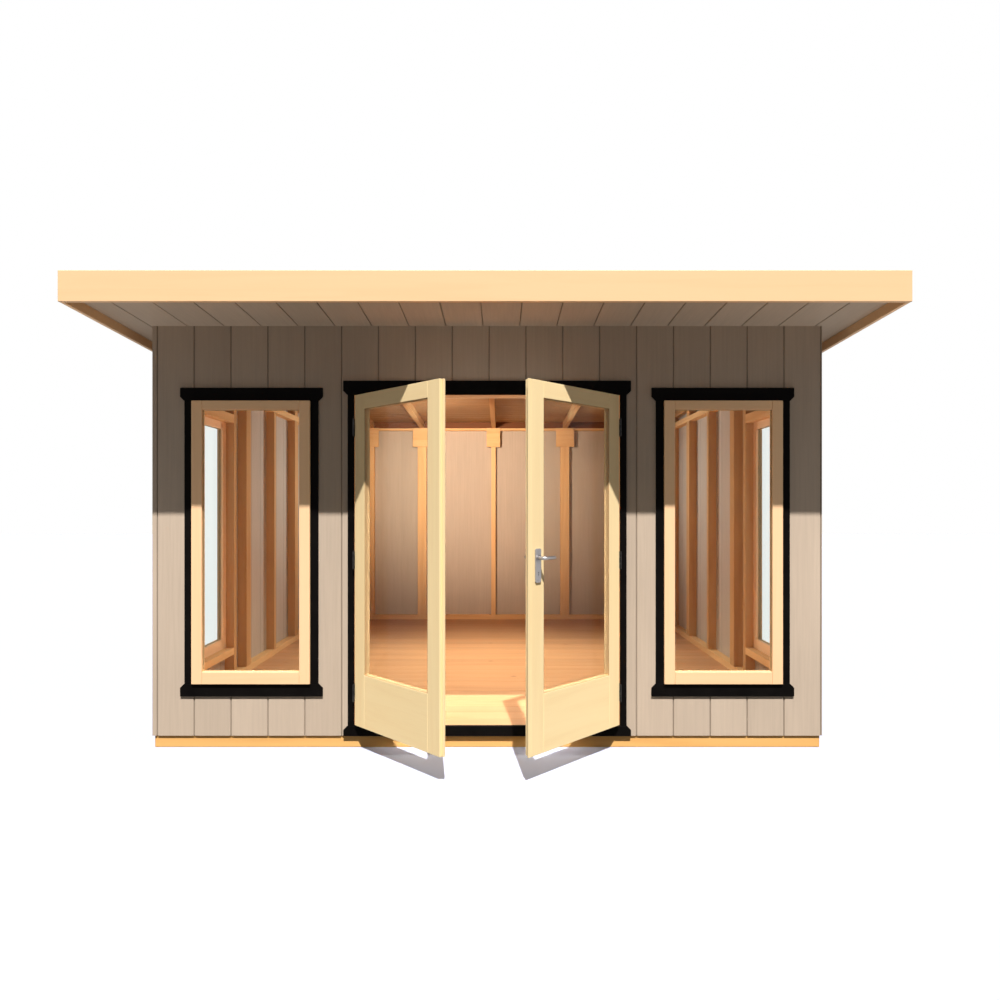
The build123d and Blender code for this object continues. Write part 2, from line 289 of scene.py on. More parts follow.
def mixed(tree, amount, under, over, blend="MIX"):
    """One colour over another."""
    made = node(tree, "Mix", data_type="RGBA", blend_type=blend)
    for key, value in ((0, amount), (6, under), (7, over)):
        if isinstance(value, bpy.types.NodeSocket):
            tree.links.new(value, made.inputs[key])
        else:
            made.inputs[key].default_value = value
    return made.outputs[2]


def ramp(tree, value, stops):
    """A colour ramp through the given (position, colour) stops."""
    made = node(tree, "ValToRGB", {"Fac": value})
    points = made.color_ramp.elements
    points[0].position, points[0].color = stops[0]
    points[1].position, points[1].color = stops[-1]
    for position, colour in stops[1:-1]:
        points.new(position).color = colour
    return made.outputs["Color"]


def math_node(tree, operation, *values):
    """The result of a Math node."""
    return node(tree, "Math", dict(enumerate(values)), operation=operation).outputs[0]


def noise(tree, place, scale, detail=2.0, roughness=0.5, distortion=0.0):
    """Cloudy noise between 0 and 1."""
    return node(tree, "TexNoise", {"Vector": place, "Scale": scale, "Detail": detail,
                                   "Roughness": roughness,
                                   "Distortion": distortion}).outputs["Fac"]


def grey(value):
    return (value, value, value, 1.0)


def fade(tree, value, start, end):
    """A ramp of greys from one (position, level) to another."""
    return ramp(tree, value, [(start[0], grey(start[1])), (end[0], grey(end[1]))])


def times(tree, colour, other):
    """One colour multiplied by another."""
    return mixed(tree, 1.0, colour, other, "MULTIPLY")


def relief(tree, shader, height, strength, depth):
    """A bump that makes the light catch on a pattern."""
    bump = node(tree, "Bump", {"Height": height, "Strength": strength, "Distance": depth})
    tree.links.new(bump.outputs["Normal"], shader.inputs["Normal"])


print("helpers ready")

# %% [markdown]
# A wall, a floor or a soffit is one piece of geometry, but each of its boards should have its
# own figure and shade. So we count the boards inside the material: the distance across, less
# the first joint, divided by a board's cover width and rounded down, is the board's number.
# The number slides the grain along, so that it never runs on from one board to the next.

# %% Count boards inside a material
def boards_along(tree, place, across, first, cover):
    """The distance from the first joint, counted in boards."""
    parts = node(tree, "SeparateXYZ", {"Vector": place})
    from_first = math_node(tree, "SUBTRACT", parts.outputs[across], first)
    return math_node(tree, "DIVIDE", from_first, cover)


def slid_along(tree, place, grain, number):
    """The same place, slid along the grain by an amount that differs for each board."""
    slide = math_node(tree, "MULTIPLY", number, 7.31)
    shift = node(tree, "CombineXYZ", {grain: slide}).outputs[0]
    return node(tree, "VectorMath", {0: place, 1: shift}, operation="ADD").outputs[0]


print("a board's number comes from its place")

# %% Softwood
def softwood(name, pale, grain, roughness=0.5, turn=0.0, depth=0.05, knots=0.0, boards=None,
             oiled=False):
    """Planed or sawn pine with its grain along X, Y or Z. boards is (across, first, cover)
    when the colour and the figure change from board to board."""
    if oiled:
        material, tree, shader = blank(name, roughness, 1.0, (1.0, 0.72, 0.38))
    else:
        material, tree, shader = blank(name, roughness, 0.25)
    place = node(tree, "TexCoord").outputs["Object"]
    if boards:
        number = math_node(tree, "FLOOR", boards_along(tree, place, *boards))
        place = slid_along(tree, place, grain, number)
    bands = stretched(tree, place, grain, 0.055, turn)
    figure = noise(tree, bands, 17.0, 5.0, 0.55, 0.9)
    dark = tuple(pale[i] * (1 - depth * (0.7, 1.3, 1.9)[i]) for i in range(3))
    middle = tuple(pale[i] * (1 - depth * (0.2, 0.35, 0.6)[i]) for i in range(3))
    colour = ramp(tree, figure, [(0.32, (*dark, 1)), (0.5, (*middle, 1)), (0.68, (*pale, 1))])
    lines = stretched(tree, place, grain, 0.012, turn)
    fibre = noise(tree, lines, 420.0, 3.0, 0.6)
    fine = fade(tree, fibre, (0.3, 1 - 0.5 * depth), (0.7, 1.0))
    colour = times(tree, colour, fine)
    if knots:
        spots = stretched(tree, place, grain, 0.62, turn)
        cells = node(tree, "TexVoronoi", {"Vector": spots, "Scale": 4.2, "Randomness": 1.0})
        core = fade(tree, cells.outputs["Distance"], (0.035, 1.0), (0.075, 0.0))
        some = fade(tree, cells.outputs["Color"], (0.55, 0.0), (0.6, knots))
        spot = times(tree, core, some)
        brown = tuple(pale[i] * (0.42, 0.25, 0.16)[i] for i in range(3))
        colour = mixed(tree, spot, colour, (*brown, 1))
    if boards:
        shade = node(tree, "TexWhiteNoise", {"W": number}, noise_dimensions="1D")
        tone = fade(tree, shade.outputs["Value"], (0.0, 0.86), (1.0, 1.0))
        colour = times(tree, colour, tone)
    tree.links.new(colour, shader.inputs["Base Color"])
    relief(tree, shader, math_node(tree, "ADD", figure, fibre), 0.16, 0.0012)
    return material


JOINERY = (0.93, 0.60, 0.35)
# The door leaves are paler than the other joinery: painted light, making up for the sun they miss while standing
# turned at 45 degrees.
LEAVES_LIGHTENED = (0.985, 0.77, 0.435)
EDGES = (0.90, 0.58, 0.325)
FRAMING = (0.84, 0.50, 0.23)
BASE = (0.83, 0.465, 0.16)
WAYS = {X: "across", Y: "deep", Z: "upright"}
joinery = {way: softwood("joinery_" + word, JOINERY, way, oiled=True)
           for way, word in WAYS.items()}
edges = {way: softwood("edge_boards_" + WAYS[way], EDGES, way, depth=0.03) for way in (X, Y)}
framing = {way: softwood("framing_" + word, FRAMING, way, 0.65, depth=0.16, knots=0.8)
           for way, word in WAYS.items()}
# The noggins get a near-black copy of the framing timber: painted shade for the dark gap between the rafters.
noggin_shaded_wood = softwood("framing_noggins_painted_shade", (0.165, 0.05, 0.011), X, 0.65, depth=0.16, knots=0.6)
# The side studs get a darker copy of the framing timber: painted shade for faces turned away from the room's
# light.
side_stud_shaded_wood = softwood("framing_side_studs_painted_shade", (0.64, 0.35, 0.15), Z, 0.65, depth=0.16, knots=0.8)
# The rafters get a darker copy of the framing timber: painted shade for the dim ceiling.
rafter_shaded_wood = softwood("framing_rafters_painted_shade", (0.60, 0.33, 0.14), Y, 0.65, depth=0.16, knots=0.6)
# The glazing beads are a dark copy of the joinery: painted shade for the reveal round each pane.
bead_shaded_wood = softwood("glazing_beads_painted_shade", (0.46, 0.29, 0.14), Z)
leaf_stile = softwood("leaves_upright", LEAVES_LIGHTENED, Z, oiled=True)
leaf_rail = {side: softwood("leaves_" + side + "_rails", LEAVES_LIGHTENED, X, turn=sign * math.radians(45),
                            oiled=True) for side, sign in (("left", 1), ("right", -1))}
base_wood = {way: softwood("base_" + WAYS[way], BASE, way, 0.7, depth=0.12, knots=0.6)
             for way in (X, Y)}
print(len(bpy.data.materials), "timber finishes")

# %% [markdown]
# The walls and the soffit are matchboards with an opaque taupe paint. Paint hides most of the
# figure but not the raised grain, and no two boards dry to quite the same shade: white noise
# turns the number of a board into its shade. On the weather side the paint is also darkened
# next to each joint as painted shade in the grooves, so there it asks how far it is to the nearest joint.

# %% Painted matchboards
def painted_boards(name, colour, grain, across, first, cover, joint_shade_level=0.62):
    """Opaque paint on sawn boards, darkened next to each joint as painted shade; the last argument is how bright
    it stays there.
    """
    material, tree, shader = blank(name, 0.72, 0.18)
    place = node(tree, "TexCoord").outputs["Object"]
    boards = boards_along(tree, place, across, first, cover)
    number = math_node(tree, "FLOOR", boards)
    to_joint = math_node(tree, "PINGPONG", boards, 0.5)
    shade = node(tree, "TexWhiteNoise", {"W": number}, noise_dimensions="1D")
    place = slid_along(tree, place, grain, number)
    streaks = noise(tree, stretched(tree, place, grain, 0.03), 95.0, 6.0, 0.62)
    clouds = noise(tree, stretched(tree, place, grain, 0.3), 6.0, 3.0)
    paint = (*colour, 1)
    # The last of these darkens the paint next to each joint: painted shade in the grooves.
    for value, start, end in ((shade.outputs["Value"], (0.0, 0.93), (1.0, 1.0)),
                              (streaks, (0.3, 0.92), (0.62, 1.0)),
                              (clouds, (0.3, 0.94), (0.7, 1.0)),
                              (to_joint, (0.010, joint_shade_level), (0.020, 1.0))):
        paint = times(tree, paint, fade(tree, value, start, end))
    tree.links.new(paint, shader.inputs["Base Color"])
    relief(tree, shader, streaks, 0.25, 0.0012)
    return material


TAUPE = (0.555, 0.44, 0.341)
# The soffit takes the wall's taupe a little paler: painted light, standing in for the light it catches from below.
SOFFIT_LIGHTENED = (0.60, 0.475, 0.368)
board_cover, soffit_cover = 0.1982, 0.1986
corner_strip, side_strip, soffit_strip = 0.0264, 0.120, 0.139
wall_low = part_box("front_wall_left")[0]
wall_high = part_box("front_wall_right")[1]
wall_first = wall_low.x + corner_strip
side_first = front_y + side_strip
soffit_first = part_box("soffit_front")[0].x + soffit_strip
wall_paint = painted_boards("paint_front_boards", TAUPE, Z, X, wall_first, board_cover)
rear_paint = painted_boards("paint_rear_boards", TAUPE, Z, X, wall_first, board_cover, 1.0)
side_paint = painted_boards("paint_side_boards", TAUPE, Z, Y, side_first, board_cover)
soffit_paint = painted_boards("paint_soffit_boards", SOFFIT_LIGHTENED, Y, X, soffit_first, soffit_cover)
print("a board covers", round(1000 * board_cover), "mm")

# %% [markdown]
# The casings round the openings and the door sill are the same timber under black paint. Deep
# black needs a very dark base and little shine, or the pale surroundings turn it grey. The
# roof sheet is rubber: dark, a little dusty and dull. Handles are satin steel, brushed along
# their length, and the hinges are black metal.

# %% Black paint, rubber, metals and glass
def mottled(name, roughness, specular, wander, tones, fine=None):
    """A finish that wanders between two tones; fine is the (scale, detail, strength, depth)
    of its relief."""
    material, tree, shader = blank(name, roughness, specular)
    place = node(tree, "TexCoord").outputs["Object"]
    tree.links.new(ramp(tree, noise(tree, place, *wander), tones), shader.inputs["Base Color"])
    if fine:
        scale, detail, strength, depth = fine
        relief(tree, shader, noise(tree, place, scale, detail), strength, depth)
    return material


def satin_steel():
    material, tree, shader = blank("satin_steel", 0.32, 0.5)
    shader.inputs["Metallic"].default_value = 1.0
    place = node(tree, "TexCoord").outputs["Object"]
    brushed = node(tree, "Mapping", {"Vector": place, "Scale": (30.0, 30.0, 900.0)})
    lines = noise(tree, brushed.outputs["Vector"], 2.0)
    colour = ramp(tree, lines, [(0.3, (0.34, 0.33, 0.335, 1)), (0.7, (0.46, 0.445, 0.45, 1))])
    tree.links.new(colour, shader.inputs["Base Color"])
    rough = node(tree, "MapRange", {"Value": lines, "To Min": 0.34, "To Max": 0.5})
    tree.links.new(rough.outputs["Result"], shader.inputs["Roughness"])
    return material


def window_glass():
    material, tree, shader = blank("clear_glass", 0.0, 0.5)
    shader.inputs["Base Color"].default_value = (0.93, 0.967, 0.955, 1)
    shader.inputs["Transmission Weight"].default_value = 1.0
    shader.inputs["IOR"].default_value = 1.12
    return material


paint_black = mottled("paint_black", 0.5, 0.02, (9.0, 4.0),
                      [(0.3, (0.0032, 0.0026, 0.0025, 1)), (0.7, (0.006, 0.005, 0.0045, 1))],
                      (160.0, 4.0, 0.2, 0.0008))
rubber = mottled("roof_rubber", 0.8, 0.3, (3.0, 8.0, 0.7),
                 [(0.3, (0.030, 0.030, 0.033, 1)), (0.75, (0.075, 0.073, 0.070, 1))],
                 (380.0, 2.0, 0.3, 0.001))
steel = satin_steel()
hinge_metal = mottled("black_metal", 0.45, 0.3, (60.0, 3.0),
                      [(0.35, (0.012, 0.012, 0.013, 1)), (0.8, (0.05, 0.048, 0.046, 1))])
metal_shader = hinge_metal.node_tree.nodes["Principled BSDF"]
metal_shader.inputs["Metallic"].default_value = 0.6
glass = window_glass()
print(len(bpy.data.materials), "finishes in all")

# %% [markdown]
# Each finished piece has to be told three things: which body it moves with, its material, and
# which plain solids it stands for. A piece is left at the origin with its place in its mesh, so
# that its pattern stays put.

# %% Hand over a finished piece
body_of = {name: body for body, names in frame["record"]["behaviour"]["bodies"].items()
           for name in names}


def hand_over(piece, material, *nodes, smooth=0.0):
    """Give a piece its material and body, and let it stand for the nodes."""
    piece.data.materials.clear()
    piece.data.materials.append(material)
    if smooth:
        only(piece)
        bpy.ops.object.shade_smooth_by_angle(angle=math.radians(smooth))
    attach(piece, body_of[nodes[0]])
    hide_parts(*nodes)
    return piece


def keep_solid(node_name, material):
    """A node whose shape is right stays, and only gets its material."""
    mesh = frame["nodes"][node_name].data
    mesh.materials.clear()
    mesh.materials.append(material)


# %% [markdown]
# ## Matchboard walls
# The front is nailed up with boards about 200 mm wide. They are matchboards: each has a tongue
# along one edge that sits in the groove of its neighbour, so no daylight shows between them.
# Each long edge of the outer face has a small chamfer, and two chamfers side by side make the
# V of the joint: that thin dark line is what tells the eye "boards".
#
# We make one board from a block. Two bisecting cuts divide its thickness in three, with the
# thickest part towards the face, so that the joint is deep and dark. The middle strip of one
# edge is extruded outward as the tongue and made a little thinner, and that of the other edge
# is extruded inward as the groove. The strips behind them are drawn out until the joint almost
# closes inside. Then we copy the board across the wall, join the copies, saw off what is too
# wide and cut the openings. A hair of air stays between the boards, as it does on the real
# wall, and it keeps the cutter of an opening from meeting faces that coincide.

# %% One matchboard
TONGUE = 0.006
GROOVE = 0.007


def matchboard(name, low, high, run, across, out, chamfer, gap):
    """A board along one axis, with a groove on the low edge and a tongue on the high one.
    out is (axis, sign) of the face that shows."""
    through, sign = out
    face_at = high[through] if sign > 0 else low[through]
    thick = high[through] - low[through]
    shallow, deepest = 0.55 * thick, 0.8 * thick
    board = add_block(name, low, high)
    normal = along_axis(through, 1)
    only(board)
    bpy.ops.object.mode_set(mode="EDIT")
    for depth in (shallow, deepest):
        bpy.ops.mesh.select_all(action="SELECT")
        bpy.ops.mesh.bisect(plane_co=normal * (face_at - sign * depth), plane_no=normal)
    bpy.ops.object.mode_set(mode="OBJECT")
    back = gap / 2 - 0.0002
    for side, length, scale, inner in ((1, TONGUE, 0.8, False), (-1, GROOVE, 1.0, False),
                                       (1, back, 1.0, True), (-1, -back, 1.0, True)):
        def strip(centre, facing):
            depth = (face_at - centre[through]) * sign
            in_strip = depth > deepest if inner else shallow < depth < deepest
            return facing[across] * side > 0.99 and in_strip

        pick_faces(board, strip)
        push = along_axis(across, length)
        bpy.ops.mesh.extrude_region_move(TRANSFORM_OT_translate={"value": push})
        slim = Vector((1, 1, 1))
        slim[through] = scale
        bpy.ops.transform.resize(value=slim)
        bpy.ops.object.mode_set(mode="OBJECT")

    def shown_long_edge(a, b):
        lengthwise = abs(a[run] - b[run]) > 1e-4
        return lengthwise and max(abs(point[through] - face_at) for point in (a, b)) < 1e-5

    pick_edges(board, shown_long_edge)
    bevel(chamfer)
    return board


# %% Lay boards side by side
def lay_boards(name, low, high, run, across, out, first, cover, chamfer=0.0035, gap=0.003):
    """Boards that fill the block between two corners; first is the place of the first joint."""
    board_low, board_high = Vector(low), Vector(high)
    board_low[across] = first - cover + gap / 2
    board_high[across] = first - gap / 2
    boards = [matchboard(name, board_low, board_high, run, across, out, chamfer, gap)]
    for index in range(1, math.ceil((high[across] - first) / cover) + 1):
        boards.append(copy_of(boards[0], along_axis(across, cover * index)))
    field = join(name, boards)
    for end, direction in ((low, -1), (high, 1)):
        trim(field, end, along_axis(across, direction))
    return field


hair = 0.0004


def cut_opening(wall, box, through, reach=0.1):
    """Cut the hole for a frame, a hair wider than the frame is."""
    low = box[0] - Vector((hair, hair, hair))
    high = box[1] + Vector((hair, hair, hair))
    low[through] -= reach
    high[through] += reach
    carve(wall, add_block("opening", low, high))


def merged(boxes):
    """The box round several boxes."""
    return box_round([corner for box in boxes for corner in box])


print("ready to lay boards")

# %% The front wall
window_bars = solids("front_window_frames")
front_windows = [merged([box for box in window_bars if box[0].x * side > 0]) for side in (-1, 1)]
side_bars = solids("side_window_frames")
side_windows = [merged([box for box in side_bars if box[0].x * side > 0]) for side in (-1, 1)]
doorway = merged([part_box("door_frame")])
front_clad = lay_boards("front_matchboards", wall_low, wall_high, Z, X, (Y, -1), wall_first,
                        board_cover)
for window in front_windows:
    cut_opening(front_clad, window, Y)
door_hole = (Vector((doorway[0].x, doorway[0].y, wall_low.z - 0.1)), doorway[1])
cut_opening(front_clad, door_hole, Y)
hand_over(front_clad, wall_paint, "front_wall_left", "front_wall_right", "front_wall_over_door")
print("front wall:", len(front_clad.data.polygons), "faces")

# %% The side walls and the rear wall
def to_slope(piece, low):
    """Turn a level piece about its front edge to the slope of the roof."""
    only(piece)
    bpy.ops.transform.rotate(value=math.atan(fall), orient_axis="X",
                             center_override=(0, low.y, low.z))
    settle()


for side, window in (("left", side_windows[0]), ("right", side_windows[1])):
    solid = side + "_wall_cladding"
    low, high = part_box(solid)
    out = -1 if side == "left" else 1
    wall = lay_boards(side + "_matchboards", low, high, Z, Y, (X, out), side_first, board_cover)
    above = add_block("above", (low.x - 0.1, low.y - 0.1, high.z - hair),
                      (high.x + 0.1, high.y + 0.1, high.z + 0.5))
    to_slope(above, Vector((low.x, low.y, high.z - hair)))
    carve(wall, above)
    cut_opening(wall, window, X)
    hand_over(wall, side_paint, solid)

low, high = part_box("rear_wall_cladding")
rear_top = Vector((high.x, high.y, high.z - fall * (high.y - low.y)))
rear_clad = lay_boards("rear_matchboards", low, rear_top, Z, X, (Y, 1), wall_first, board_cover)
hand_over(rear_clad, rear_paint, "rear_wall_cladding")
print("side boards start", round(side_first - front_y, 3), "m behind the front")

# %% [markdown]
# ## Soffit
# The same boards close the underside of the roof, running front to back. They are laid level
# first. Then the edges of the rear ends are picked and lowered by the fall of the roof, which
# tilts each board without changing how its ends meet the wall and the fascia.

# %% Lay the soffit and tilt it
def tilt(piece, low, high):
    """Lower the rear ends by the fall of the roof over the piece's depth."""
    middle = (low.y + high.y) / 2
    pick_edges(piece, lambda a, b: min(a.y, b.y) > middle)
    bpy.ops.transform.translate(value=(0, 0, -fall * (high.y - low.y)))
    bpy.ops.object.mode_set(mode="OBJECT")


def soffit_field(box):
    """Tilted boards for one part of the soffit."""
    low, high = Vector(box[0]), Vector(box[1])
    low.z += fall * (high.y - low.y)
    boards = lay_boards("soffit", low, high, Y, X, (Z, -1), soffit_first, soffit_cover)
    tilt(boards, low, high)
    return boards


soffit_boxes = [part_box("soffit_front"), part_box("soffit_rear")] + solids("soffit_sides")
soffit = join("soffit_boards", [soffit_field(box) for box in soffit_boxes])
hand_over(soffit, soffit_paint, "soffit_front", "soffit_rear", "soffit_sides")
print("soffit:", len(soffit.data.polygons), "faces")

# %% [markdown]
# ## Roof
# Over the rafters lie boards, and over the boards a rubber sheet. From inside the boards show
# between the rafters, so their joints matter. From above only the sheet shows: it comes in
# strips that lap each other by a hand's width, the upper over the lower, so that water runs
# off. The strips are laid level as steps, and the whole is then turned to the roof's slope.

# %% Roof boards and roof sheet
roof_cover = 0.12


def level_box(name):
    """The box that a sloping layer would have if it lay level at its front edge's height."""
    low, high = (Vector(corner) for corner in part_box(name))
    low.z += fall * (high.y - low.y)
    return low, high


low, high = level_box("roof_deck")
deck = lay_boards("roof_boards", low, high, X, Y, (Z, -1), low.y + roof_cover, roof_cover, 0.002)
to_slope(deck, low)
# The roof boards get a dark copy of pine: painted shade for the dim ceiling between the rafters.
deck_boards_shaded = softwood("roof_boards_painted_shade", (0.375, 0.20, 0.085), X, depth=0.2, knots=0.7,
                       boards=(Y, low.y + roof_cover, roof_cover))
hand_over(deck, deck_boards_shaded, "roof_deck")

low, high = level_box("roof_membrane")
strip_count = 4
lap = 0.08
strip = (high.y - low.y + (strip_count - 1) * lap) / strip_count
thick = high.z - low.z
sheets = []
for index in range(strip_count):
    start = low.y + index * (strip - lap)
    rise = thick * 0.6 if index < strip_count - 1 else 0.0
    sheet = add_block("sheet", (low.x, start, low.z), (high.x, start + strip, high.z))
    pick_faces(sheet, lambda centre, normal: normal.y > 0.9)
    bpy.ops.transform.translate(value=(0, 0, rise))
    bpy.ops.object.mode_set(mode="OBJECT")
    ease(sheet, 0.0006)
    sheets.append(sheet)
sheet = join("roof_sheet", sheets)
to_slope(sheet, low)
hand_over(sheet, rubber, "roof_membrane")
print("roof sheet in", strip_count, "strips of", round(strip, 2), "m")

# %% [markdown]
# ## Fascias and barge boards
# The pale boards round the roof are the brightest thing on the building. They are planed all
# round and their edges are eased by a couple of millimetres, which gives each edge a thin
# highlight. The two barge boards follow the roof, so they are tilted the same way as the
# soffit.

# %% Edge boards of the roof
edge_round = 0.0025
for name in ("fascia_front", "fascia_rear"):
    board = join(name + "_board", eased_bars([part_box(name)], edge_round, 2))
    hand_over(board, edges[X], name)

barges = []
for low, high in solids("barge_boards"):
    low.z += fall * (high.y - low.y)
    barge = add_block("barge", low, high)
    tilt(barge, low, high)
    ease(barge, edge_round, 2)
    barges.append(barge)
hand_over(join("barge_pair", barges), edges[Y], "barge_boards")
print("front board is", round(1000 * (fascia_high.z - fascia_low.z)), "mm deep")

# %% [markdown]
# ## Floor
# The floor is boarded across the joists. The boards fit tight, with a joint that is little
# more than a pencil line. Under it the frame's rims run along the front and rear, and the
# joists run between them, so they are dressed apart: the grain follows each timber.

# %% Floor boards and floor frame
low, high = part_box("floor_deck")
floor_cover = 0.121
floor_boards = lay_boards("floor_boards", low, high, X, Y, (Z, 1), low.y + floor_cover,
                          floor_cover, 0.0008)
floor_finish = softwood("floor_boards_finish", (0.64, 0.325, 0.16), X, 0.42, depth=0.12,
                        knots=0.7, boards=(Y, low.y + floor_cover, floor_cover))
hand_over(floor_boards, floor_finish, "floor_deck")


def bars_by_way(node_name):
    """A node's solids, sorted by the axis that each is longest along."""
    ways = {}
    for low, high in solids(node_name):
        size = high - low
        way = max(range(3), key=lambda axis: size[axis])
        ways.setdefault(way, []).append((low, high))
    return ways


def dress_bars(node_name, finishes, width):
    """Stand an eased bar for each solid of a node, one object for each way of the grain."""
    for way, boxes in bars_by_way(node_name).items():
        piece = join(node_name + "_" + WAYS[way], eased_bars(boxes, width))
        hand_over(piece, finishes[way], node_name)
        print(" ", piece.name, len(boxes), "bars")


dress_bars("floor_frame", base_wood, 0.003)
print("floor boards:", len(floor_boards.data.polygons), "faces")

# %% [markdown]
# ## Wall and roof framing
# Studs, plates, rafters and noggins are sawn timber that shows from inside. Their solids have
# the right shape already, with tops cut to the slope, so they stay and only get their finish,
# each with the grain along its length.

# %% Finish the framing
# The side studs, rafters and noggins take the darker copies of the framing made above, which are painted shade.
for name, finish in (("front_wall_studs", framing[Z]), ("rear_wall_studs", framing[Z]),
                     ("side_wall_studs", side_stud_shaded_wood), ("front_wall_plates", framing[X]),
                     ("rear_wall_plates", framing[X]), ("rafter_gussets", framing[X]),
                     ("side_wall_plates", framing[Y]), ("rafters", rafter_shaded_wood),
                     ("roof_noggins", noggin_shaded_wood)):
    keep_solid(name, finish)
print("framing finished")

# %% [markdown]
# ## Windows
# A window is two stiles, two rails, a pane and a glazing bead. The bead is a slim strip,
# mitred at the corners, that grips the edge of the pane. It is made from a block as big as the
# opening: its front and back are inset, and the two inner faces are bridged, which leaves a
# ring. The ring's edges next to the glass are then bevelled, so that they slope towards it.

# %% Window frames and glazing beads
for name in ("front_window_frames", "side_window_frames"):
    dress_bars(name, joinery, 0.0018)

bead_width = 0.003
bead_depth = 0.006
bead_bevel = 0.002


def ring(name, low, high, through, width):
    """A rectangular ring: a block with a smaller block taken out, right through."""
    block = add_block(name, low, high)
    pick_faces(block, lambda centre, normal: abs(normal[through]) > 0.99)
    bpy.ops.mesh.inset(thickness=width)
    bpy.ops.mesh.bridge_edge_loops()
    bpy.ops.mesh.select_all(action="SELECT")
    face_outward()
    return block


def bead(pane, through, outer, inner):
    """The bead that grips the edge of a pane and reaches out and in from it; the edges next to
    the glass are bevelled, outside and inside."""
    low, high = Vector(pane[0]), Vector(pane[1])
    low[through] -= outer
    high[through] += inner
    made = ring("bead", low, high, through, bead_width)
    beside = [axis for axis in range(3) if axis != through]

    def glass_side_edge(a, b):
        on_face = any(abs(a[through] - face) < 1e-5 and abs(b[through] - face) < 1e-5
                      for face in (low[through], high[through]))
        return on_face and all(low[axis] + 1e-4 < point[axis] < high[axis] - 1e-4
                               for point in (a, b) for axis in beside)

    pick_edges(made, glass_side_edge)
    bevel(bead_bevel, 2)
    return made


def glaze(node_name):
    """Panes keep their solids; sunlight passes them unshaded."""
    keep_solid(node_name, glass)
    frame["nodes"][node_name].visible_shadow = False


beads = []
for pane in solids("window_panes"):
    size = pane[1] - pane[0]
    through = X if size.x < size.y else Y
    beads.append(bead(pane, through, bead_depth, bead_depth))
window_beads = join("window_beads", beads)
# The beads take the dark finish, which is painted shade in the reveal.
hand_over(window_beads, bead_shaded_wood, "front_window_frames", "side_window_frames")
glaze("window_panes")
print(len(beads), "window beads")

# %% [markdown]
# ## Black casings
# Flat black boards frame each opening from outside. The head and the sill stand out past the
# uprights as horns whose inner corners are cut off at 45 degrees. We take the plain board,
# pick the two short edges at those corners, bevel them in one straight cut, and ease the rest.

# %% Casings round windows and doors
horn_cut = 0.022


def casing_board(low, high, through, clipped):
    """A casing board; clipped is 0 for none, -1 for its lower and 1 for its upper corners."""
    board = add_block("casing", low, high)
    if clipped:
        level = high.z if clipped > 0 else low.z

        def corner(a, b):
            at_level = abs(a.z - level) < 1e-5 and abs(b.z - level) < 1e-5
            return at_level and abs(a[through] - b[through]) > 1e-4

        pick_edges(board, corner)
        bevel(horn_cut)
    ease(board, 0.0015)
    return board


def casings(node_name, through):
    """Casing boards for all the solids of a node: heads, sills and uprights."""
    boards = []
    boxes = solids(node_name)
    middle = sum((low.z + high.z) / 2 for low, high in boxes) / len(boxes)
    for low, high in boxes:
        size = high - low
        along = Y if through == X else X
        clipped = 0
        if size[along] > size.z:
            clipped = -1 if low.z > middle else 1
        boards.append(casing_board(low, high, through, clipped))
    piece = join(node_name + "_boards", boards)
    hand_over(piece, paint_black, node_name)
    return piece


for name, through in (("front_window_trims", Y), ("side_window_trims", X), ("door_trim", Y)):
    print(casings(name, through).name)

low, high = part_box("door_sill")
sill_board = casing_board(low, Vector((high.x, front_y, high.z)), Y, 1)
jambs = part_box("door_frame")
treads = eased_bars([((jambs[0].x, front_y, low.z), (jambs[1].x, high.y, high.z))], 0.001)
hand_over(join("door_sill_board", [sill_board, *treads]), paint_black, "door_sill")

# %% [markdown]
# ## Door frame
# Behind the black casing the doorway is lined with planed timber, and a slim stop runs round
# it for the leaves to close against. Each bar gets its own grain.

# %% Jambs, head and stops
low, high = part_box("door_frame")
stops_low, stops_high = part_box("door_stops")
linings = [(low, Vector((stops_low.x, high.y, stops_high.z))),
           (Vector((stops_high.x, low.y, low.z)), Vector((high.x, high.y, stops_high.z)))]
lining_round = 0.0015
hand_over(join("door_jambs", eased_bars(linings, lining_round)), joinery[Z], "door_frame")
over_door = [(Vector((low.x, low.y, stops_high.z)), high)]
hand_over(join("door_head", eased_bars(over_door, lining_round)), joinery[X], "door_frame")
dress_bars("door_stops", joinery, lining_round)
print("the clear opening is", round(1000 * (stops_high.x - stops_low.x)), "mm between jambs")

# %% [markdown]
# ## Door leaves
# A leaf is easiest to model shut, square to the axes. Its solids stand open, so we first turn
# them shut in our measuring, model there, and swing the finished pieces open again about the
# hinge. The rotate tool turns about the point given as its centre. Stiles keep an upright
# grain, but a rail swings with the leaf, so its finish is turned by the same 45 degrees.

# %% Turn a leaf shut and open again
open_angle = math.radians(45)


def joint_place(name):
    """Where a joint of the part lies."""
    return Vector(next(row["pos_m"] for row in frame["joints"] if row["name"] == name))


def shutting(side):
    """The turn that brings a leaf's solids from where they stand to shut."""
    angle = open_angle if side == "left" else -open_angle
    hinge = joint_place(side + "_door_hinge")
    return Matrix.Translation(hinge) @ Matrix.Rotation(angle, 4, "Z") @ Matrix.Translation(-hinge)


def swing_open(piece, side):
    """Swing a piece that was modelled shut back to where the leaf stands."""
    only(piece)
    angle = open_angle if side == "left" else -open_angle
    bpy.ops.transform.rotate(value=angle, orient_axis="Z",
                             center_override=joint_place(side + "_door_hinge"))
    settle()


for side in ("left", "right"):
    boxes = solids(f"door_{side}_stiles", shutting(side))
    print(side, "leaf shut spans", [round(value, 3) for value in merged(boxes)[0]],
          [round(value, 3) for value in merged(boxes)[1]])

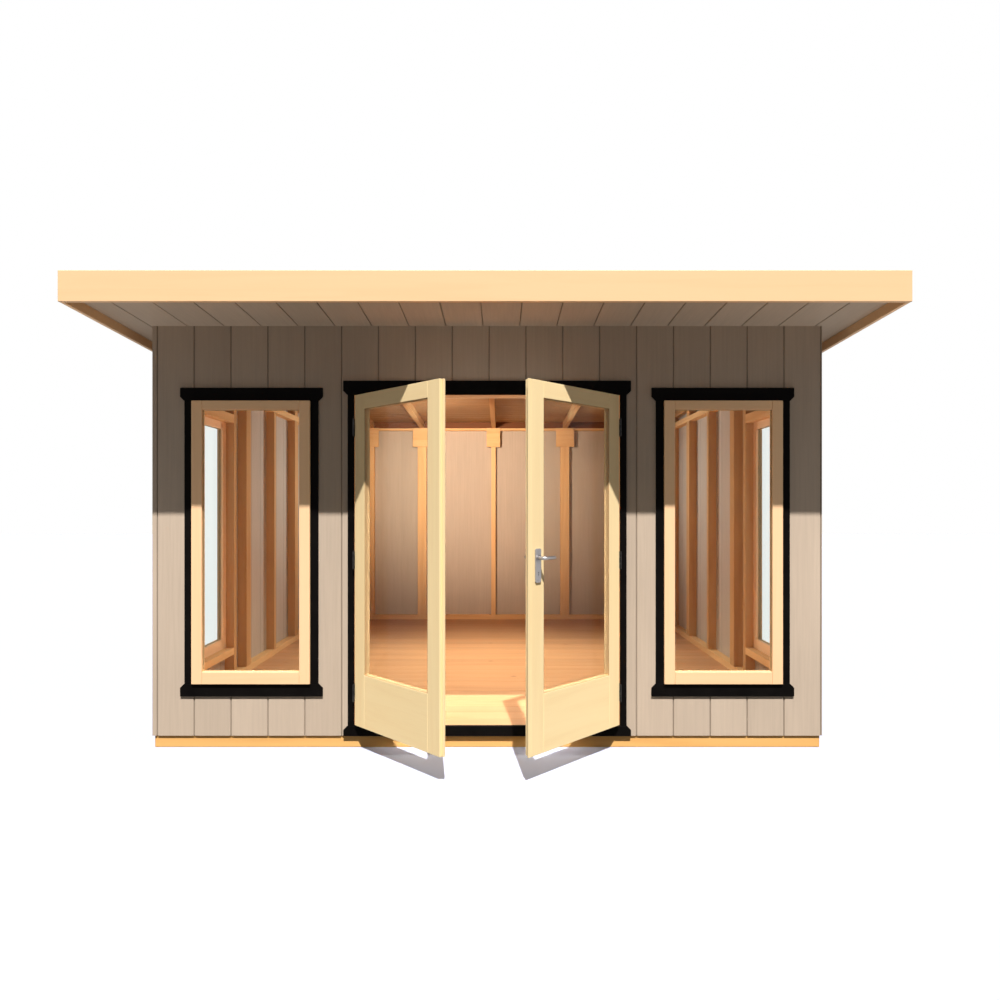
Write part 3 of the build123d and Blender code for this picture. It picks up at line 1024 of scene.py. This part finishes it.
# %% Stiles, rails and beads of the leaves
for side in ("left", "right"):
    turned = shutting(side)
    for kind, finish in (("stiles", leaf_stile), ("rails", leaf_rail[side])):
        solid = f"door_{side}_{kind}"
        piece = join(solid + "_bars", eased_bars(solids(solid, turned), 0.0012))
        swing_open(piece, side)
        hand_over(piece, finish, solid)
    pane = solids(f"door_{side}_glass", turned)[0]
    leaf = merged(solids(f"door_{side}_rails", turned))
    leaf_bead = bead(pane, Y, pane[0].y - leaf[0].y - 0.001, leaf[1].y - pane[1].y - 0.001)
    join(f"door_{side}_bead", [leaf_bead])
    swing_open(leaf_bead, side)
    # The bead's dark finish is painted shade in the reveal.
    hand_over(leaf_bead, bead_shaded_wood, f"door_{side}_rails")
    glaze(f"door_{side}_glass")
    print(side, "leaf dressed")

# %% Hinges
for name in ("hinge_frame_halves", "door_left_hinges", "door_right_hinges"):
    keep_solid(name, hinge_metal)
print("three hinges to a leaf")

# %% [markdown]
# ## Handle
# The backplate is a thin block with rounded corners and a keyhole under the lever, held by
# two slotted screws. The lever is one round bar bent twice, so we draw it like a wire: the
# end is a filled circle, and it is extruded along the lever, spun a quarter turn about the
# centre of the bend, extruded through the leaf, spun back, and extruded along the other
# lever. Both are made shut and swung open with the leaf.

# %% Backplates
opened = shutting("right")
plates = solids("door_handle_plates", opened)
lever_low, lever_high = solids("door_lever", opened)[0]
spindle = opened @ joint_place("lever_turn")


def add_rod(name, centre, radius, length, sides=24):
    """A rod along Y."""
    bpy.ops.object.select_all(action="DESELECT")
    bpy.ops.mesh.primitive_cylinder_add(vertices=sides, radius=radius, depth=length,
                                        location=centre, rotation=(math.radians(90), 0, 0))
    settle()
    bpy.context.object.name = name
    return bpy.context.object


plate_corner = 0.009
key_drop, keyhole_radius = 0.07, 0.0045
key_slot_half, key_slot_long = 0.0018, 0.013
rose_radius, rose_thick = 0.0165, 0.003
spindle_clearance = 0.0095
screw_radius, screw_long = 0.0042, 0.0022
slot_half = 0.0006


def backplate(low, high, outward):
    """One plate with its rose, keyhole and screws; outward is the Y sign of its face."""
    plate = add_block("backplate", low, high)
    pick_edges(plate, lambda a, b: abs(a.y - b.y) > 1e-4)
    bevel(plate_corner, 5)
    ease(plate, 0.0012, 2)
    face = low.y if outward < 0 else high.y
    middle = (low.x + high.x) / 2
    key_z = spindle.z - key_drop
    carve(plate, add_rod("keyhole", (middle, face, key_z), keyhole_radius, 0.008))
    carve(plate, add_block("key_slot", (middle - key_slot_half, face - 0.004,
                                        key_z - key_slot_long),
                           (middle + key_slot_half, face + 0.004, key_z)))
    rose_y = face + outward * rose_thick / 2
    rose = add_rod("rose", (spindle.x, rose_y, spindle.z), rose_radius, rose_thick)
    for piece in (plate, rose):
        hole = add_rod("spindle_hole", (spindle.x, face, spindle.z), spindle_clearance, 0.03)
        carve(piece, hole)
    parts = [plate, rose]
    for level in (low.z + 0.014, high.z - 0.012):
        screw = add_rod("screw", (middle, face + outward * 0.0005, level), screw_radius,
                        screw_long)
        carve(screw, add_block("slot", (middle - 0.005, face - 0.004, level - slot_half),
                               (middle + 0.005, face + 0.004, level + slot_half)))
        parts.append(screw)
    return parts


pieces = []
for low, high in plates:
    outward = -1 if low.y + high.y < lever_low.y + lever_high.y else 1
    pieces += backplate(low, high, outward)
handle_plates = join("handle_backplates", pieces)
swing_open(handle_plates, "right")
hand_over(handle_plates, steel, "door_handle_plates")
print("backplates:", len(handle_plates.data.polygons), "faces")

# %% Lever
bar = (lever_high.z - lever_low.z) / 2
bar_z = (lever_high.z + lever_low.z) / 2
radius = 0.0085
bend = 0.014
front_bar, rear_bar = lever_low.y + radius, lever_high.y - radius
tip = lever_high.x
bpy.ops.object.select_all(action="DESELECT")
bpy.ops.mesh.primitive_circle_add(vertices=24, radius=radius, fill_type="NGON",
                                  location=(tip, front_bar, bar_z),
                                  rotation=(0, math.radians(90), 0))
settle()
lever = bpy.context.object
edit_all(lever)


def draw_out(x=0.0, y=0.0):
    """Extrude the end of the bar."""
    bpy.ops.mesh.extrude_region_move(TRANSFORM_OT_translate={"value": (x, y, 0)})


def bend_bar(centre_y):
    """Spin the end of the bar a quarter turn."""
    bpy.ops.mesh.spin(steps=8, angle=math.radians(90), axis=(0, 0, 1),
                      center=(spindle.x + bend, centre_y, bar_z))


along = tip - spindle.x - bend
draw_out(x=-along)
bend_bar(front_bar + bend)
draw_out(y=rear_bar - front_bar - 2 * bend)
bend_bar(rear_bar - bend)
draw_out(x=along)
bpy.ops.mesh.select_all(action="SELECT")
face_outward()
pick_faces(lever, lambda centre, normal: normal.x > 0.999)
bevel(0.003, 3)
collar = add_rod("collar", (spindle.x, (front_bar + rear_bar) / 2, bar_z), bar, 0.064)
lever = join("lever_bar", [lever, collar])
swing_open(lever, "right")
hand_over(lever, steel, "door_lever", smooth=35)
print("lever:", len(lever.data.polygons), "faces")

# %% [markdown]
# ## Camera
# The building is seen straight from the front, from a standing person's eye height and close
# enough that the doors reach towards us. The lens is wide, and a small shift up keeps the
# uprights upright while the roof stays in the frame.

# %% Camera
camera_data = bpy.data.cameras.new("camera")
camera = bpy.data.objects.new("camera", camera_data)
bpy.context.scene.collection.objects.link(camera)
eye_height, distance, aside = 1.288, 3.844, 0.069
camera.location = (aside, front_y - distance, eye_height)
camera.rotation_euler = (math.radians(90), 0, 0)
camera_data.sensor_width = 36
camera_data.lens = 25.74
camera_data.shift_y = 0.0082
bpy.context.scene.camera = camera
print("camera stands", round(front_y - camera.location.y, 3), "m before the front wall")

# %% [markdown]
# ## Light
# One soft sun from the front, high up and a little to the right, throws the roof's shadow
# over the upper half of the wall. The sky fills that shadow gently, and a little light from
# the ground lifts the soffit. Two warm spots under the ceiling light the rear wall and the
# floor of the room, and two cooler panels at the back light the side walls, so that the edges
# of the studs stand out. The background is white to the eye, to metal and to glass, but it
# lights the building only dimly: the Light Path node tells those rays apart. The floor works
# the same way: the camera sees it in sun and shadow, a pane of glass shows it white, and it
# throws little light back up.

# %% Sun, room light, sky and floor
scene = bpy.context.scene
scene.view_settings.view_transform = "Standard"


def add_light(name, kind, energy, colour):
    data = bpy.data.lights.new(name, kind)
    data.energy = energy
    data.color = colour
    light = bpy.data.objects.new(name, data)
    scene.collection.objects.link(light)
    return light


sun_height = 60.7
sun = add_light("sun", "SUN", 7.1, (1.0, 0.985, 0.955))
sun.data.angle = math.radians(0.8)
sun.rotation_euler = (math.radians(90 - sun_height), 0, math.radians(6.2))


def aim(light, place, target):
    """Stand a light at its place and turn it to look at its target."""
    light.location = place
    light.rotation_euler = (Vector(target) - Vector(place)).to_track_quat("-Z", "Y").to_euler()


def aimed_spot(name, energy, colour, place, target, width):
    """A warm ceiling spot."""
    spot = add_light(name, "SPOT", energy, colour)
    spot.data.spot_size = math.radians(width)
    spot.data.spot_blend = 1.0
    spot.data.shadow_soft_size = 0.08
    aim(spot, place, target)


rear_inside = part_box("rear_wall_studs")[0].y
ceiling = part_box("rear_wall_studs")[1].z
aimed_spot("rear_spot", 250.0, (1.0, 0.86, 0.70),
           (-0.5, front_y + 1.5, ceiling - 0.12), (-0.25, rear_inside, 1.6), 76)
aimed_spot("floor_spot", 258.0, (1.0, 0.98, 0.80),
           (0.0, front_y + 1.7, ceiling), (0.0, front_y + 1.4, 0.1), 110)


def hidden_panel(name, energy, colour, place, target, width, height, spread):
    """A soft light panel that is not seen itself."""
    panel = add_light(name, "AREA", energy, colour)
    panel.data.shape = "RECTANGLE"
    panel.data.size = width
    panel.data.size_y = height
    panel.data.spread = math.radians(spread)
    aim(panel, place, target)
    panel.visible_camera = False
    panel.visible_glossy = False
    panel.visible_transmission = False


for side, sign in (("left", -1), ("right", 1)):
    under = Vector((2.25 * sign, front_y - 0.5, 0.03))
    hidden_panel("ground_fill_" + side, 3.1, (1.0, 0.97, 0.94), under,
                 under + Vector((0, 0, 1)), 1.2, 0.4, 90)
    hidden_panel("room_fill_" + side, 12.5, (0.80, 0.92, 1.0),
                 (0.3 * sign, rear_inside - 0.25, 1.75), (1.75 * sign, front_y + 1.1, 1.3),
                 0.4, 0.4, 100)


def seen_directly(tree):
    """Two switches: 1 for what the camera sees, and 1 for what a mirror or a pane shows."""
    path = node(tree, "LightPath").outputs
    shiny = math_node(tree, "MAXIMUM", path["Is Glossy Ray"], path["Is Transmission Ray"])
    return path["Is Camera Ray"], shiny


world = bpy.data.worlds.new("sky")
scene.world = world
world.use_nodes = True
sky = world.node_tree
seen = math_node(sky, "MAXIMUM", *seen_directly(sky))
level = node(sky, "MapRange", {"Value": seen, "To Min": 0.12, "To Max": 1.0})
sky.nodes["Background"].inputs["Color"].default_value = (1, 1, 1, 1)
sky.links.new(level.outputs["Result"], sky.nodes["Background"].inputs["Strength"])

bpy.ops.object.select_all(action="DESELECT")
bpy.ops.mesh.primitive_plane_add(size=60)
ground = bpy.context.object
ground.name = "studio_floor"
floor_paint, tree, shader = blank("studio_floor", 0.9, 0.0)
bounce = node(tree, "BsdfDiffuse", {"Color": (0.09, 0.09, 0.09, 1)})
shader.inputs["Base Color"].default_value = (0.44, 0.46, 0.60, 1)
shader.inputs["Emission Color"].default_value = (1, 1, 1, 1)
shader.inputs["Emission Strength"].default_value = 0.08
white = node(tree, "Emission", {"Color": (1, 1, 1, 1), "Strength": 1.0})
by_camera, in_glass = seen_directly(tree)
either = node(tree, "MixShader", {0: by_camera, 1: bounce.outputs[0], 2: shader.outputs[0]})
shown = node(tree, "MixShader", {0: in_glass, 1: either.outputs[0], 2: white.outputs[0]})
tree.links.new(shown.outputs[0], tree.nodes["Material Output"].inputs["Surface"])
ground.data.materials.append(floor_paint)
print("sun from the front,", sun_height, "degrees up")
